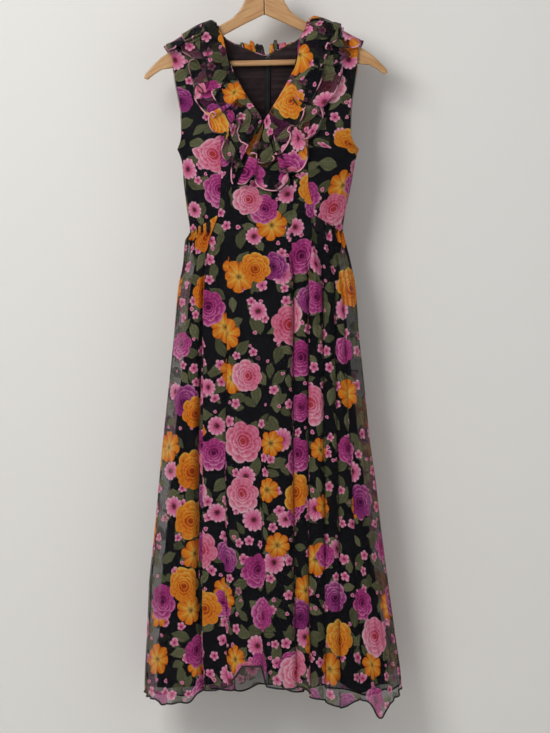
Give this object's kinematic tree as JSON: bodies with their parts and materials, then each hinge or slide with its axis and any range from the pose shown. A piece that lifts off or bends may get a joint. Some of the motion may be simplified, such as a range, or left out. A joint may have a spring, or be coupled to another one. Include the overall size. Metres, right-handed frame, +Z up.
{
  "type": "sleeveless chiffon maxi dress on a wooden hanger",
  "caption": "Long sleeveless floral chiffon dress with a frilled V neck and gathered sheer skirt over a lining, hanging on a flat wooden hanger with a bar and hook.",
  "frame": {"origin": "inside of the hook's crown, where the hanger hangs", "axes": "+Z up, the front of the dress faces -Y, +X is the viewer's right seen from the front"},
  "size_m": [0.4691, 0.1408, 1.3903],
  "materials": {
    "chiffon": "sheer floral printed chiffon on a near-black ground",
    "frill": "the same printed chiffon, gathered, with a pink rolled edge",
    "satin": "plum satin lining",
    "lining": "plain black lining",
    "tape": "woven zip tape with a fine chain",
    "zip_metal": "dark enamelled metal",
    "steel": "bright plated wire",
    "wood": "clear varnished honey wood, grain along the arms"
  },
  "bodies": {
    "dress": {"front_centre_panel": "chiffon", "front_side_bodice_left": "chiffon", "front_side_bodice_right": "chiffon", "front_side_skirt_left": "chiffon", "front_side_skirt_right": "chiffon", "back_bodice_left": "chiffon", "back_bodice_right": "chiffon", "back_skirt_left": "chiffon", "back_skirt_right": "chiffon", "back_bodice_lining_left": "satin", "back_bodice_lining_right": "satin", "skirt_lining_front": "lining", "skirt_lining_back": "lining", "frill_lower_left": "frill", "frill_lower_right": "frill", "frill_upper_left": "frill", "frill_upper_right": "frill", "zip_tape": "tape", "zip_slider": "zip_metal", "eye": "steel", "hook": "steel", "hanger_arm_left": "wood", "hanger_arm_right": "wood", "hanger_bar": "wood", "hanger_hook": "steel"},
    "pull_tab": {"zip_pull": "zip_metal"}
  },
  "joints": [
    {"name": "pull_hinge", "type": "hinge", "parent": "dress", "child": "pull_tab", "pos_m": [0.008, 0.0231, -0.2015], "axis": [1, 0, 0], "range_deg": [0, 150]}
  ]
}
